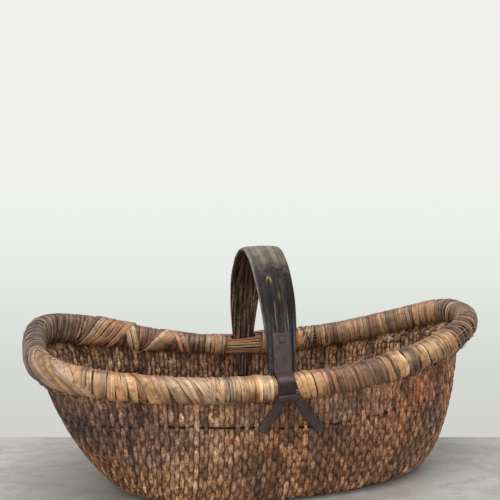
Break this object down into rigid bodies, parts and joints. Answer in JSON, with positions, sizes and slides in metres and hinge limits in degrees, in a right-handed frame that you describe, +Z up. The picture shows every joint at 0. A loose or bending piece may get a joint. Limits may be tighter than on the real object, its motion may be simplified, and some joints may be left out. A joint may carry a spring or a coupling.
{
  "type": "reed basket",
  "caption": "Long boat-shaped reed basket, higher at both ends, with a splint-bound rim and a fixed bent-wood strap handle held by forked iron straps.",
  "frame": {"origin": "middle of the basket's outline, on the surface that it stands on", "axes": "+X along the basket to its higher end, -Y to the front face in the picture, +Z up"},
  "size_m": [0.6008, 0.2791, 0.3092],
  "materials": {
    "woven_reed": "aged woven reed, matte brown with tan wear",
    "dark_cord": "dark twisted cord",
    "rim_rod": "peeled rods, grey brown",
    "rim_splint": "flat split cane, golden to grey brown, low sheen",
    "bent_wood": "dark bent wood, polished by hands",
    "forged_iron": "hand-forged iron, dull brown black"
  },
  "bodies": {
    "root": {"cap_rod_left": "rim_rod", "cap_rod_right": "rim_rod", "front_fork": "forged_iron", "front_rivet": "forged_iron", "front_strap": "forged_iron", "handle_bow": "bent_wood", "inner_hoop_rod_1": "rim_rod", "inner_hoop_rod_2": "rim_rod", "inner_hoop_rod_3": "rim_rod", "outer_hoop_rod_1": "rim_rod", "outer_hoop_rod_2": "rim_rod", "outer_hoop_rod_3": "rim_rod", "rear_fork": "forged_iron", "rear_rivet": "forged_iron", "rear_strap": "forged_iron", "rim_splint_01": "rim_splint", "rim_splint_02": "rim_splint", "rim_splint_03": "rim_splint", "rim_splint_04": "rim_splint", "rim_splint_05": "rim_splint", "rim_splint_06": "rim_splint", "rim_splint_07": "rim_splint", "rim_splint_08": "rim_splint", "rim_splint_09": "rim_splint", "rim_splint_10": "rim_splint", "rim_splint_11": "rim_splint", "rim_splint_12": "rim_splint", "rim_splint_13": "rim_splint", "rim_splint_14": "rim_splint", "rim_splint_15": "rim_splint", "rim_splint_16": "rim_splint", "rim_splint_17": "rim_splint", "rim_splint_18": "rim_splint", "rim_splint_19": "rim_splint", "rim_splint_20": "rim_splint", "rim_splint_21": "rim_splint", "rim_splint_22": "rim_splint", "rim_splint_23": "rim_splint", "rim_splint_24": "rim_splint", "waist_cord": "dark_cord", "woven_body": "woven_reed"}
  },
  "joints": []
}
